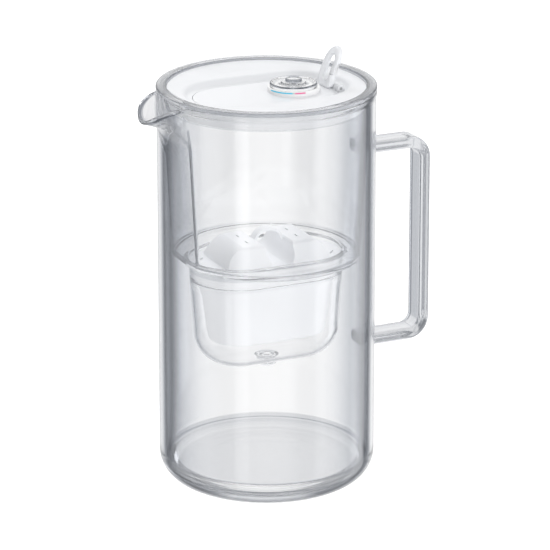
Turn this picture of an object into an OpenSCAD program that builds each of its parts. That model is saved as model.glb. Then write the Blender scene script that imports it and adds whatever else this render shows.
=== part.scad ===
// Water filter pitcher: a glass jug, a hopper that hangs in its mouth and holds a filter
// cartridge, and a lid whose fill flap opens on a thumb loop and carries a reminder dial.
// +X points to the handle, -X to the spout and +Z up. The origin is the centre of the base,
// on the surface that the jug stands on. Millimetres throughout.

/* [Glass jug] */
// Outside diameter of the glass body
jug_d = 142; // [136:1:156]
// Height of the glass rim
jug_h = 265.5; // [256:0.5:300]
// Thickness of the glass wall
glass_wall = 4; // [3:0.25:4.5]
// Thickness of the glass base
base_t = 10.5; // [6:0.5:16]
// Radius of the rounded outer edge of the base
base_round = 19; // [10:1:26]
// Radius of the corner between inner floor and wall
floor_round = 7; // [3:0.5:12]
// Height of the thickened bead at the rim
bead_h = 4; // [2:0.5:6]
// How far the bead stands proud of the wall
bead_out = 0.5; // [0.2:0.1:1.2]

/* [Pulled spout] */
// How far the lip reaches beyond the wall
spout_reach = 16.5; // [8:0.5:22]
// Half of the angle that the spout takes out of the rim
spout_half_angle = 20; // [14:1:28]
// How far the tip of the lip droops below the rim
spout_droop = 13.8; // [6:0.2:15]
// Height of the throat that the spout is pulled from
spout_depth = 23; // [19:0.5:30]
// Thickness of the drawn lip
lip_t = 2.6; // [1.5:0.1:4]

/* [Glass handle] */
// Width of the handle bar, across the jug
bar_w = 18; // [12:0.5:24]
// Thickness of the handle bar
bar_t = 8; // [5:0.5:12]
// Rounding of the bar's edges
bar_round = 3; // [1:0.25:3.5]
// Distance from the wall to the outer face of the grip
handle_reach = 44.7; // [36:0.1:56]
// Height of the lower face of the bottom arm
handle_low = 81; // [50:1:110]
// Height over the whole handle
handle_h = 140.8; // [110:0.2:160]
// Radius of the bend, at the outer face
handle_bend = 15; // [13:0.5:24]

/* [Hopper] */
// Thickness of the hopper wall
hopper_wall = 2; // [1.5:0.25:3]
// Thickness of the flange that lies on the glass rim
flange_t = 2.5; // [1.5:0.25:4]
// Gap between the hopper's collar and the glass
collar_gap = 0.4; // [0.2:0.05:0.8]
// Height of the straight collar below the flange
collar_h = 19.5; // [16:0.5:26]
// Depth of the hopper below the glass rim
hopper_depth = 111.5; // [95:0.5:130]
// Draft of the hopper wall, in degrees
hopper_draft = 3.2; // [1:0.1:4]
// Radius of the hopper's bottom edge
hopper_round = 4; // [2.5:0.5:8]
// Depth that the flat pouring side is cut into the round hopper
flat_cut = 2.9; // [1.5:0.1:4]
// Height over which the flat side runs out into the collar
shoulder_h = 5; // [3:0.5:12]
// Diameter of the air vent in the hopper floor
vent_d = 4.4; // [3:0.2:6]
// Height of the air vent above the hopper floor
vent_h = 3.4; // [2:0.2:8]

/* [Cartridge well] */
// Floor left between each end of the well and the hopper's round bottom edge
well_land = 4.9; // [3.5:0.1:8]
// Half of the well's outside width at the hopper floor
well_r = 33.2; // [31:0.1:35]
// Wall thickness of the well below its seat
well_wall = 1.7; // [1.2:0.1:2.4]
// Depth of the well below the hopper floor
well_depth = 71.5; // [66:0.5:80]
// Draft of the well wall, in degrees
well_draft = 3.7; // [1:0.1:5]
// Radius of the well's bottom edge
well_round = 21; // [12:1:24]
// Depth of the seat that the cartridge rests on, below the hopper's underside
seat_depth = 13; // [10:0.5:16]
// Outside diameter of the outlet boss
outlet_d = 14; // [10:0.5:18]
// Height of the outlet boss below the well
outlet_h = 4.5; // [3:0.5:8]
// Bore of the outlet
outlet_bore = 6; // [4:0.5:8]

/* [Filter cartridge] */
// Space under the cartridge, above the floor of the well
cup_gap = 6.3; // [5:0.1:12]
// Wall thickness of the cartridge
cup_wall = 1.5; // [1:0.1:2]
// Draft of the cartridge wall, in degrees
cup_draft = 4.6; // [3:0.1:6]
// Radius of the cartridge's bottom edge
cup_round = 7.5; // [4:0.5:12]
// Height of the collar above the seat
rim_h = 10; // [8:0.5:12]
// Gap between the cartridge's collar and the well
seat_gap = 0.3; // [0.2:0.05:0.6]
// Width of the soft seal's lip
seal_h = 2.4; // [1.6:0.2:4]
// Height of the cap's two humps above the collar
hump_h = 15; // [10:0.5:18]
// Radius of the finger hole between humps and grip
finger_r = 9.5; // [8:0.5:10.5]
// Thickness of the arched grip over the finger hole
grip_t = 1.7; // [1.2:0.1:2.5]
// Width of the arched grip
grip_w = 7; // [5:0.5:10]
// Width of the water slits
slit_w = 1.2; // [0.8:0.1:1.6]
// Length of the water slits in the humps
slit_l = 4.8; // [3:0.2:6]
// Thickness of the two screens
screen_t = 0.8; // [0.5:0.1:1.2]

/* [Lid] */
// Gap between the lid and the hopper round it
lid_gap = 0.3; // [0.2:0.05:0.6]
// How far the edge of the lid lies below the top of the flange
lid_sink = 1.7; // [1:0.1:2]
// Thickness of the lid at its edge
lid_t = 2.3; // [1.8:0.1:3]
// How far the middle of the lid dips below its edge
dish = 1.3; // [0.5:0.1:2]
// Depth of the skirt below the lid's seat
skirt_h = 9; // [5:0.5:12]
// Thickness of the skirt
skirt_t = 1.8; // [1.2:0.1:2.5]
// Width of the ledge in the hopper that the lid rests on
ledge_w = 1.8; // [1.2:0.1:2.5]
// Distance from the lid's edge to the crest of the trough at either end
trough_margin = 5.3; // [4:0.1:8]
// Half of the trough's width at its floor
trough_r = 26; // [24:0.5:28]
// Width of the curved side of the trough
trough_side = 9; // [7:0.5:11]
// Depth of the trough
trough_depth = 3.5; // [2.5:0.1:4.5]

/* [Fill flap] */
// Thickness of the flap
flap_t = 2; // [1.6:0.1:2.6]
// Gap round the flap
flap_gap = 0.4; // [0.3:0.05:0.6]
// Width of the ledge under the flap
flap_ledge = 4.5; // [3:0.5:6]
// Thickness of the ledge under the flap
flap_ledge_t = 1.6; // [1.2:0.1:2.4]
// Depth of the lip under the flap
flap_lip = 3; // [2.4:0.2:5]
// Distance from the handle end of the trough's floor to the hinge axis
hinge_inset = 4; // [3.4:0.1:6]
// Height of the hinge axis above the trough's floor
hinge_rise = 1.5; // [1:0.1:2.2]
// Diameter of the hinge pin
pin_d = 2; // [1.6:0.1:2.6]
// Radial running clearance on the hinge pin
pin_fit = 0.06; // [0.03:0.01:0.1]
// Half of the distance between the hinge's two ears
ear_y = 11.8; // [11.2:0.1:13]
// Thickness of each ear
ear_t = 3.4; // [2.6:0.1:4]

/* [Thumb loop] */
// Width of the loop
loop_w = 18.5; // [15:0.5:19]
// Width of the loop at its foot
loop_foot_w = 16.6; // [12:0.2:17]
// Height of the loop above the flap
loop_h = 25.6; // [22:0.2:28]
// Thickness of the loop at its foot
loop_t = 3.6; // [2.6:0.1:4]
// Thickness of the loop at its tip
loop_tip_t = 2.2; // [1.6:0.1:3]
// Width of the strip round the slot
loop_strip = 5.1; // [3.5:0.1:5.5]
// Height of the solid foot below the slot
loop_foot = 4; // [3:0.25:7]
// Height of the steep part, above which the loop leans further
loop_rise = 10; // [6:0.5:14]
// Lean of the steep part towards the handle, in degrees
loop_rise_lean = 12; // [5:1:18]
// Lean of the upper part towards the handle, in degrees
loop_lean = 25; // [15:1:28]

/* [Reminder dial] */
// Distance from the flap's hinge to the dial's axis
dial_back = 26.7; // [25:0.1:36]
// Radius of the white scale ring
scale_r = 17; // [15:0.25:18]
// Height of the white scale ring
scale_h = 2.5; // [2:0.1:3.5]
// Width of the sunk seat inside the scale ring's rim
scale_rim = 1.2; // [0.8:0.1:1.4]
// Radius of the clear knob
knob_r = 15.5; // [13:0.1:15.5]
// Thickness of the clear knob
knob_t = 3.1; // [2.4:0.1:4]
// Radius of the knob's raised button
button_r = 5.4; // [4:0.1:7]
// Height of the raised button
button_h = 2.4; // [1.5:0.1:4]
// Diameter of the knob's axle
axle_d = 6; // [4:0.2:8]
// Radial running clearance on the axle
axle_fit = 0.08; // [0.04:0.01:0.1]

/* [Hidden] */
$fn = 96;
eps = 0.01;
over = 1;

// Glass
jug_r = jug_d / 2;
jug_ri = jug_r - glass_wall;
bead_chamfer = 0.8;
flange_r = jug_r + bead_out;

// Spout: t runs from -1 to 1 across it, and u from 0 at the wall to 1 at the lip
spout_rows = 24;
spout_steps = 7;
spout_end_ratio = 0.985;
spout_blunt_power = 2.5;
spout_flare_power = 1.1;
spout_sink = 0.5;
spout_root = 2;
throat_power = 0.8;
lip_edge = 1.2;
curve_out_power = 1.4;
curve_up_power = 0.75;

// Handle
bar_bend = handle_bend - bar_t / 2;
grip_x = jug_r + handle_reach - bar_t / 2;
handle_top = handle_low + handle_h;

// Hopper
collar_r = jug_ri - collar_gap;
hopper_ri = collar_r - hopper_wall;
hopper_bottom = jug_h - hopper_depth;
hopper_floor = hopper_bottom + hopper_wall;
collar_low = jug_h - collar_h;
top_z = jug_h + flange_t;
flange_round = 0.9;
low_cone_r = collar_r - (collar_low - hopper_bottom) * tan(hopper_draft);
floor_edge_r = collar_r - (collar_low - hopper_bottom - hopper_round) * tan(hopper_draft)
               - hopper_round / cos(hopper_draft);

// Well and its seat
well_spine = floor_edge_r - well_land - well_r;
well_bottom = hopper_bottom - well_depth;
seat_z = hopper_bottom - seat_depth;
mouth_wall = 1.7;
mouth_r = well_r - mouth_wall;
seat_w = 1.5;
seat_t = 1.5;
vent_turn = -42;
vent_margin = 1.2;
vent_bore = 1.8;
outlet_wall = 1.4;

// Cartridge
rim_r = mouth_r - seat_gap;
rim_top = seat_z + rim_h;
cup_r = rim_r - 2.6;
cup_bottom = well_bottom + well_wall + cup_gap;
cup_h = seat_z - cup_bottom;
rim_wall = 2;
cup_inner = cup_r - cup_wall;
seal_depth = 1;
seal_proud = 0.15;
seal_z = rim_top - 2 - seal_h;
cap_flange_t = 1.5;
cap_wall = 1.6;
cap_plug_h = 2.5;
cap_plug_t = 1.2;
cap_fit = 0.1;
hump_top = rim_top + hump_h;
hump_round = 16;
hump_x = 20;
hump_lip = 3;
hump_half_w = 16;
hump_blend = 0.5;
hump_foot = 27.5;
hump_shoulder = 4;
shoulder_fill_ratio = 0.97;
finger_z = rim_top + 0.5 + finger_r;
slit_x = 17.7;
slit_y = 7.3;
end_slit_x = 42;
end_slit_y = 11;
end_slit_l = 7;
outlet_slot_l = 9;
outlet_slot_w = 1.6;
outlet_slots = 5;
outlet_pitch = 5;

// Lid
lid_r = hopper_ri - lid_gap;
lid_edge = top_z - lid_sink;
lid_seat = lid_edge - lid_t;
ledge_r = hopper_ri - ledge_w;
ledge_t = 1.6;
ledge_root = 0.5;
skirt_r = ledge_r - 2 * lid_gap;
crest_z = lid_edge - dish;
dish_flat_ratio = 0.7;
edge_chamfer = 0.4;
lid_under = crest_z - 2.4;
trough_floor = crest_z - trough_depth;
trough_spine = lid_r - trough_margin - trough_side - trough_r;
crest_r = trough_r + trough_side;
side_arc = (trough_side * trough_side + trough_depth * trough_depth) / (4 * trough_depth);
tub_wall = 2.2;

// Flap and hinge
flap_r = trough_r - flap_gap;
flap_low = trough_floor - flap_t;
ledge_low = flap_low - flap_ledge_t;
opening_r = trough_r - flap_ledge;
lip_gap = 0.8;
lip_wall = 1.4;
hinge_x = trough_spine + trough_r - hinge_inset;
hinge_z = trough_floor + hinge_rise;
pin_r = pin_d / 2;
knuckle_r = pin_r + 1.4;
knuckle_gap = 0.3;
knuckle_l = 2.5;
knuckle_y = ear_y - knuckle_gap - knuckle_l;
pin_half = ear_y + ear_t - 0.5;

// Thumb loop
loop_x = hinge_x - 4;
peg_r = 1.4;
peg_y = 5;
peg_rise = 1.5;
slot_r = loop_w / 2 - loop_strip;
loop_knee_x = loop_rise * tan(loop_rise_lean);
loop_tip_x = loop_knee_x + (loop_h - loop_rise) * tan(loop_lean);
loop_knee_t = (loop_t + loop_tip_t) / 2;

// Dial
scale_top = trough_floor + scale_h + 0.3;
seat_sink = 0.3;
knob_low = scale_top - seat_sink;
knob_top = knob_low + knob_t;
knob_hollow_in = button_r + 1.2;
knob_hollow_out = knob_r - 2;
knob_hollow_h = knob_t - 1.3;
dimple_r = button_r - 1.4;
dimple_h = 0.8;
dial_x = hinge_x - dial_back;
pointer_turn = 245;
pointer_cut = 1.2;
axle_r = axle_d / 2;
clip_t = 1;
clip_gap = 0.2;
clip_grip = 0.5;
clip_r = axle_r + 2;
clip_open = 60;
axle_low = flap_low - clip_gap - clip_t - 0.6;

// ---------------------------------------------------------------- shared forms

// Half of an upright cup's section: flat bottom, round corner, drafted wall up to z_top
module cup_section(r_top, z_top, z_bottom, draft, corner) {
    corner_z = z_bottom + corner;
    corner_r = r_top - (z_top - corner_z) * tan(draft) - corner / cos(draft);
    polygon([[0, z_bottom], [corner_r, z_bottom],
             [corner_r + corner * cos(draft), corner_z - corner * sin(draft)],
             [r_top, z_top], [0, z_top]]);
    intersection() {
        translate([corner_r, corner_z]) circle(corner);
        translate([0, z_bottom]) square([r_top, 2 * corner]);
    }
}

// A race-track solid: the half section is turned round both ends of a spine and drawn along it
module race_track(spine) {
    for (side = [0, 1])
        mirror([side, 0, 0])
            translate([spine, 0, 0])
                rotate([0, 0, -90])
                    rotate_extrude(angle = 180) children();
    rotate([90, 0, 90])
        linear_extrude(2 * spine, center = true) {
            children();
            mirror([1, 0]) children();
        }
}

// A flat race-track plate from z_low to z_high
module race_plate(spine, r, z_low, z_high) {
    race_track(spine) translate([0, z_low]) square([r, z_high - z_low]);
}

// A rounded rectangle centred on the origin
module soft_rectangle(w, h, r) {
    square([w - 2 * r, h], center = true);
    square([w, h - 2 * r], center = true);
    for (x = [-1, 1], y = [-1, 1])
        translate([x * (w / 2 - r), y * (h / 2 - r)]) circle(r, $fn = 32);
}

// An outline in X and Z, drawn along Y over the width w
module across(w) {
    rotate([90, 0, 0]) linear_extrude(w, center = true) children();
}

// ---------------------------------------------------------------- glass jug

function swell(t) = pow(1 - pow(abs(t), spout_blunt_power), spout_flare_power);
function throat(t) = pow(cos(90 * t), throat_power);
function lip_top(t) = jug_h - (spout_droop - lip_t) * pow(cos(90 * t), 2);
function throat_top(t) = jug_h - (spout_depth - lip_t) * throat(t);

// Points from the wall to the lip at t, as radius and height
function spout_curve(t, r_wall, reach, z_wall, z_lip) = [
    for (i = [0 : spout_steps])
        let (u = i / spout_steps)
        [r_wall - spout_sink + (reach * swell(t) + spout_sink) * pow(u, curve_out_power),
         z_wall + (z_lip - z_wall) * pow(u, curve_up_power)]
];

// Closed outline at t of the glass tongue, filled up to the height of its lip
function tongue_outline(t) = concat(
    [[jug_r - spout_root, throat_top(t) - lip_t]],
    spout_curve(t, jug_r, spout_reach, throat_top(t) - lip_t, lip_top(t) - lip_t),
    [[jug_r + spout_reach * swell(t), lip_top(t)], [jug_r - spout_root, lip_top(t)]]
);

// Closed outline at t of the space that the water pours through, open above the lip
function channel_outline(t) = concat(
    [[jug_ri - spout_root, throat_top(t)]],
    spout_curve(t, jug_ri, spout_reach + glass_wall - lip_edge, throat_top(t), lip_top(t)),
    [[jug_ri + (spout_reach + glass_wall - lip_edge) * swell(t), jug_h + over],
     [jug_ri - spout_root, jug_h + over]]
);

// The solid between a row of outlines fanned round the jug's axis
module spout_solid(outlines) {
    n = len(outlines[0]);
    rows = len(outlines);
    points = [
        for (j = [0 : rows - 1])
            let (turn = 180 + spout_half_angle * spout_end_ratio * (2 * j / (rows - 1) - 1))
            for (p = outlines[j]) [p[0] * cos(turn), p[0] * sin(turn), p[1]]
    ];
    sides = [
        for (j = [0 : rows - 2], i = [0 : n - 1])
            let (a = j * n + i, b = j * n + (i + 1) % n)
            each [[a, a + n, b + n], [a, b + n, b]]
    ];
    first = [for (i = [0 : n - 1]) i];
    last = [for (i = [n - 1 : -1 : 0]) (rows - 1) * n + i];
    polyhedron(points, concat(sides, [first, last]), convexity = 6);
}

function spout_places() = [for (j = [0 : spout_rows]) spout_end_ratio * (2 * j / spout_rows - 1)];

module jug_body() color([0.86, 0.9, 0.93, 0.35]) {
    difference() {
        union() {
            rotate_extrude() {
                cup_section(jug_r, jug_h, 0, 0, base_round);
                polygon([[jug_ri, jug_h - bead_h], [jug_r, jug_h - bead_h],
                         [flange_r, jug_h - bead_h + bead_out],
                         [flange_r, jug_h - bead_chamfer],
                         [flange_r - bead_chamfer, jug_h], [jug_ri, jug_h]]);
            }
            spout_solid([for (t = spout_places()) tongue_outline(t)]);
        }
        rotate_extrude() cup_section(jug_ri, jug_h + over, base_t, 0, floor_round);
        spout_solid([for (t = spout_places()) channel_outline(t)]);
    }
}

module jug_handle() color([0.86, 0.9, 0.93, 0.35])
    difference() {
        union() {
            translate([grip_x, 0, handle_low + handle_bend])
                linear_extrude(handle_h - 2 * handle_bend) soft_rectangle(bar_t, bar_w, bar_round);
            for (top = [0, 1]) {
                bend_z = top == 1 ? handle_top - handle_bend : handle_low + handle_bend;
                translate([grip_x - bar_bend, 0, bend_z])
                    rotate([90, 0, 0])
                        rotate([0, 0, top == 1 ? 0 : -90])
                            rotate_extrude(angle = 90)
                                translate([bar_bend, 0]) soft_rectangle(bar_t, bar_w, bar_round);
                translate([0, 0, bend_z + (top == 1 ? bar_bend : -bar_bend)])
                    rotate([90, 0, 90])
                        linear_extrude(grip_x - bar_bend) soft_rectangle(bar_w, bar_t, bar_round);
            }
        }
        cylinder(r = jug_r, h = 2 * jug_h, center = true);
    }

// ---------------------------------------------------------------- hopper

// The hopper's outer form with its flat pouring side, or the same form drawn in by inset
module hopper_form(inset, z_top) {
    difference() {
        rotate_extrude() {
            cup_section(collar_r - inset, collar_low, hopper_bottom + inset, hopper_draft,
                        hopper_round - inset / 2);
            translate([0, collar_low]) square([collar_r - inset, z_top - collar_low]);
        }
        across(2 * jug_d)
            polygon([[-jug_d, hopper_bottom - over],
                     [flat_cut + inset - low_cone_r, hopper_bottom - over],
                     [flat_cut + inset - collar_r, collar_low],
                     [inset - collar_r - over, collar_low + shoulder_h],
                     [-jug_d, collar_low + shoulder_h]]);
    }
}

module hopper() color([0.9, 0.93, 0.95, 0.35])
    difference() {
        union() {
            difference() {
                union() {
                    hopper_form(0, jug_h + eps);
                    rotate_extrude() {
                        translate([0, jug_h]) square([flange_r - flange_round, flange_t]);
                        translate([0, jug_h]) square([flange_r, flange_t - flange_round]);
                        translate([flange_r - flange_round, top_z - flange_round])
                            circle(flange_round, $fn = 32);
                    }
                }
                hopper_form(hopper_wall, top_z + over);
            }
            // Ledge that the lid rests on
            rotate_extrude()
                polygon([[ledge_r, lid_seat], [ledge_r, lid_seat - ledge_t],
                         [hopper_ri + ledge_root, lid_seat - ledge_t - ledge_w - ledge_root],
                         [hopper_ri + ledge_root, lid_seat]]);
        }
        race_plate(well_spine, mouth_r, hopper_bottom - over, hopper_floor + over);
        translate(vent_place()) cylinder(d = vent_bore, h = 4 * hopper_wall, center = true);
    }

function vent_place() = [
    well_spine + (well_r + vent_margin) * cos(vent_turn),
    (well_r + vent_margin) * sin(vent_turn),
    hopper_floor
];

module hopper_vent() color([0.92, 0.95, 0.97, 0.5])
    translate(vent_place())
        difference() {
            union() {
                cylinder(d = vent_d, h = vent_h - vent_d / 4);
                translate([0, 0, vent_h - vent_d / 4]) cylinder(d1 = vent_d, d2 = vent_d / 2, h = vent_d / 4);
            }
            translate([0, 0, -over]) cylinder(d = vent_bore, h = vent_h + 2 * over);
        }

module cartridge_well() color([0.88, 0.92, 0.95, 0.35])
    difference() {
        race_track(well_spine)
            cup_section(well_r, hopper_bottom, well_bottom, well_draft, well_round);
        race_plate(well_spine, mouth_r, seat_z, hopper_bottom + over);
        race_plate(well_spine, mouth_r - seat_w, seat_z - seat_t - eps, seat_z + eps);
        race_track(well_spine)
            cup_section(well_r - seat_depth * tan(well_draft) - well_wall, seat_z - seat_t,
                        well_bottom + well_wall, well_draft, well_round - well_wall);
        translate([0, 0, well_bottom - over]) cylinder(d = outlet_bore, h = 4 * well_wall);
    }

module well_outlet() color([0.88, 0.92, 0.95, 0.5])
    translate([0, 0, well_bottom])
        difference() {
            mirror([0, 0, 1]) cylinder(d1 = outlet_d, d2 = outlet_d - outlet_wall, h = outlet_h);
            translate([0, 0, -outlet_h - over]) cylinder(d = outlet_bore, h = outlet_h + 2 * over);
            translate([0, 0, -outlet_h - over])
                cylinder(d = outlet_d - 2 * outlet_wall - outlet_wall, h = outlet_h - outlet_wall + over);
        }

// ---------------------------------------------------------------- cartridge

module cartridge_cup() color([0.93, 0.94, 0.96])
    difference() {
        union() {
            race_track(well_spine) cup_section(cup_r, seat_z + eps, cup_bottom, cup_draft, cup_round);
            race_plate(well_spine, rim_r, seat_z, rim_top);
        }
        race_track(well_spine)
            cup_section(cup_inner, seat_z + cup_wall + eps, cup_bottom + cup_wall, cup_draft,
                        cup_round - cup_wall);
        race_plate(well_spine, rim_r - rim_wall, seat_z + cup_wall, rim_top + over);
        // Groove for the seal
        difference() {
            race_plate(well_spine, rim_r + over, seal_z, seal_z + seal_h);
            race_plate(well_spine, rim_r - seal_depth, seal_z - over, seal_z + seal_h + over);
        }
        // Outlet slots in the floor
        for (i = [0 : outlet_slots - 1])
            translate([(i - (outlet_slots - 1) / 2) * outlet_pitch, 0, cup_bottom])
                cube([outlet_slot_w, outlet_slot_l, 4 * cup_wall], center = true);
    }

module cartridge_seal() color([0.82, 0.85, 0.88])
    difference() {
        race_plate(well_spine, rim_r + seal_proud, seal_z, seal_z + seal_h);
        race_plate(well_spine, rim_r - seal_depth, seal_z - over, seal_z + seal_h + over);
    }

// The cap's outline seen along Y: two round humps with the finger hole between them
module hump_outline(inset) {
    top = hump_top + hump_blend - inset;
    hole = finger_r + inset;
    lip = hump_lip - inset / 2;
    difference() {
        union() {
            translate([-hump_x, rim_top - 3 * over]) square([2 * hump_x, top - rim_top + 3 * over]);
            for (side = [-1, 1])
                translate([side * hump_x, top + inset - hump_round]) circle(hump_round - inset);
        }
        translate([0, finger_z]) circle(hole);
        translate([-hole, finger_z]) square([2 * hole, hump_h]);
        for (side = [0, 1])
            mirror([side, 0])
                difference() {
                    translate([hole - eps, top - lip]) square([lip + eps, lip + over]);
                    translate([hole + lip, top - lip]) circle(lip, $fn = 32);
                }
    }
}

// The cap's outline seen along X, as the half section of a race track
module hump_section(inset) {
    shoulder = hump_shoulder - inset;
    run = hump_foot - hump_half_w;
    lean = atan(run / (hump_h - cap_flange_t));
    foot = hump_foot - inset;
    top = hump_top - inset;
    // The shoulder arc touches the sloping side and the flat top
    shoulder_x = foot - (top - shoulder - rim_top) * tan(lean) - shoulder / cos(lean) + shoulder * tan(lean);
    polygon([[0, rim_top - 2 * over], [foot + 2 * over * tan(lean), rim_top - 2 * over],
             [shoulder_x + shoulder * cos(lean), top - shoulder + shoulder * sin(lean)],
             [shoulder_x, top], [0, top]]);
    translate([shoulder_x, top - shoulder]) circle(shoulder * shoulder_fill_ratio, $fn = 48);
}

module cap_dome(inset) {
    intersection() {
        race_track(well_spine) hump_section(inset);
        across(4 * well_r) hump_outline(inset);
    }
}

module cartridge_cap() color([0.96, 0.97, 0.98])
    difference() {
        union() {
            difference() {
                union() {
                    intersection() {
                        cap_dome(0);
                        race_plate(2 * well_spine, 2 * well_r, rim_top, hump_top + over);
                    }
                    race_plate(well_spine, rim_r, rim_top, rim_top + cap_flange_t);
                    race_plate(well_spine, rim_r - rim_wall - cap_fit, rim_top - cap_plug_h,
                               rim_top + eps);
                }
                intersection() {
                    cap_dome(cap_wall);
                    race_plate(2 * well_spine, 2 * well_r, rim_top - over, hump_top);
                }
                race_plate(well_spine, rim_r - rim_wall - cap_fit - cap_plug_t,
                           rim_top - cap_plug_h - over, rim_top - cap_fit);
            }
            // Arched grip over the finger hole
            across(grip_w)
                difference() {
                    intersection() {
                        translate([0, finger_z]) circle(finger_r + grip_t);
                        translate([-finger_r - grip_t, finger_z])
                            square([2 * (finger_r + grip_t), finger_r + grip_t]);
                    }
                    translate([0, finger_z]) circle(finger_r);
                }
        }
        for (x = [-1, 1], y = [-1, 1]) {
            translate([x * slit_x, y * slit_y, hump_top])
                cube([slit_w, slit_l, 4 * cap_wall], center = true);
            translate([x * end_slit_x, y * end_slit_y, rim_top])
                rotate([0, 0, -x * y * 45]) cube([end_slit_l, slit_w, 4 * cap_wall], center = true);
        }
    }

module upper_screen() color([0.85, 0.87, 0.9])
    race_plate(well_spine, rim_r - rim_wall - cap_fit, seat_z + cup_wall,
               seat_z + cup_wall + screen_t);

module lower_screen() color([0.85, 0.87, 0.9])
    race_plate(well_spine, cup_r - cup_h * tan(cup_draft) - cup_round, cup_bottom + cup_wall,
               cup_bottom + cup_wall + screen_t);

module filter_media() color([0.35, 0.33, 0.32])
    race_track(well_spine)
        cup_section(cup_inner - cap_fit, seat_z + cup_wall - cap_fit,
                    cup_bottom + cup_wall + screen_t, cup_draft, cup_round - cup_wall);

// ---------------------------------------------------------------- lid

// Half section of the space above the trough and its crest
module trough_section() {
    top = lid_edge + over;
    mid_z = trough_floor + trough_depth / 2;
    mid_r = trough_r + trough_side / 2;
    translate([0, trough_floor]) square([trough_r, top - trough_floor]);
    translate([trough_r - eps, mid_z]) square([trough_side / 2 + eps, top - mid_z]);
    intersection() {
        translate([trough_r, trough_floor + side_arc]) circle(side_arc);
        translate([trough_r - eps, trough_floor]) square([trough_side / 2 + eps, trough_depth]);
    }
    difference() {
        translate([mid_r - eps, mid_z]) square([trough_side / 2 + eps, top - mid_z]);
        translate([crest_r, crest_z - side_arc]) circle(side_arc);
    }
    polygon([[crest_r - eps, crest_z], [crest_r + 2 * trough_margin, crest_z + dish],
             [crest_r + 2 * trough_margin, top], [crest_r - eps, top]]);
}

module lid_shell() color([0.97, 0.98, 0.99])
    difference() {
        union() {
            difference() {
                union() {
                    rotate_extrude() {
                        polygon([[0, lid_under], [skirt_r, lid_under], [skirt_r, lid_seat],
                                 [lid_r, lid_seat], [lid_r, lid_edge - edge_chamfer],
                                 [lid_r - edge_chamfer, lid_edge], [dish_flat_ratio * lid_r, crest_z],
                                 [0, crest_z]]);
                        translate([skirt_r - skirt_t, lid_seat - skirt_h])
                            square([skirt_t, skirt_h]);
                    }
                    race_track(trough_spine)
                        polygon([[0, ledge_low], [trough_r + tub_wall, ledge_low],
                                 [trough_r + tub_wall, flap_low], [crest_r + over, lid_under],
                                 [crest_r + over, lid_under + over], [0, lid_under + over]]);
                }
                race_track(trough_spine) trough_section();
                intersection() {
                    race_plate(trough_spine, trough_r, flap_low, crest_z);
                    translate([-jug_d, -jug_d, 0])
                        cube([jug_d + hinge_x + flap_gap, 2 * jug_d, 2 * jug_h]);
                }
                race_plate(trough_spine, opening_r, ledge_low - over, crest_z);
                // Room for the flap's knuckles
                translate([hinge_x, 0, hinge_z])
                    rotate([90, 0, 0])
                        cylinder(r = knuckle_r + flap_gap, h = 2 * ear_y, center = true);
            }
            // Ears that hold the hinge pin
            for (side = [-1, 1])
                translate([hinge_x, side * (ear_y + ear_t / 2), 0]) {
                    translate([0, 0, hinge_z])
                        rotate([90, 0, 0]) cylinder(r = knuckle_r, h = ear_t, center = true);
                    translate([-knuckle_r, -ear_t / 2, ledge_low])
                        cube([2 * knuckle_r, ear_t, hinge_z - ledge_low]);
                }
        }
        translate([hinge_x, 0, hinge_z])
            rotate([90, 0, 0]) cylinder(r = pin_r, h = 2 * (ear_y + ear_t + over), center = true);
    }

module hinge_pin() color([0.75, 0.77, 0.8])
    translate([hinge_x, 0, hinge_z])
        rotate([90, 0, 0]) cylinder(r = pin_r, h = 2 * pin_half, center = true);

module fill_flap() color([0.98, 0.99, 1])
    difference() {
        union() {
            difference() {
                union() {
                    race_plate(trough_spine, flap_r, flap_low, trough_floor);
                    race_plate(trough_spine, opening_r - lip_gap, flap_low - flap_lip,
                               flap_low + eps);
                }
                race_plate(trough_spine, opening_r - lip_gap - lip_wall,
                           flap_low - flap_lip - over, flap_low);
                translate([hinge_x, -jug_d, 0]) cube([jug_d, 2 * jug_d, 2 * jug_h]);
                for (side = [-1, 1])
                    translate([hinge_x - knuckle_r - flap_gap,
                               side > 0 ? ear_y - knuckle_gap : -jug_d, 0])
                        cube([jug_d, jug_d - ear_y + knuckle_gap, 2 * jug_h]);
            }
            for (side = [-1, 1])
                translate([hinge_x, side * (knuckle_y + knuckle_l / 2), 0]) {
                    translate([0, 0, hinge_z])
                        rotate([90, 0, 0]) cylinder(r = knuckle_r, h = knuckle_l, center = true);
                    translate([-knuckle_r, -knuckle_l / 2, flap_low])
                        cube([knuckle_r, knuckle_l, hinge_z - flap_low]);
                }
        }
        translate([hinge_x, 0, hinge_z])
            rotate([90, 0, 0])
                cylinder(r = pin_r + pin_fit, h = 2 * (ear_y + over), center = true);
        for (side = [-1, 1])
            translate([loop_x, side * peg_y, flap_low - over]) cylinder(r = peg_r, h = flap_t + 2 * over);
        translate([dial_x, 0, flap_low - over]) cylinder(r = axle_r + axle_fit, h = flap_t + 2 * over);
    }

// The loop seen along Y: steep at its foot, leaning further above, thinner towards its tip
module loop_side() {
    polygon([[-loop_t / 2, 0], [loop_knee_x - loop_knee_t / 2, loop_rise],
             [loop_tip_x - loop_tip_t / 2, loop_h], [loop_tip_x + loop_tip_t / 2, loop_h],
             [loop_knee_x + loop_knee_t / 2, loop_rise], [loop_t / 2, 0]]);
}

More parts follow.
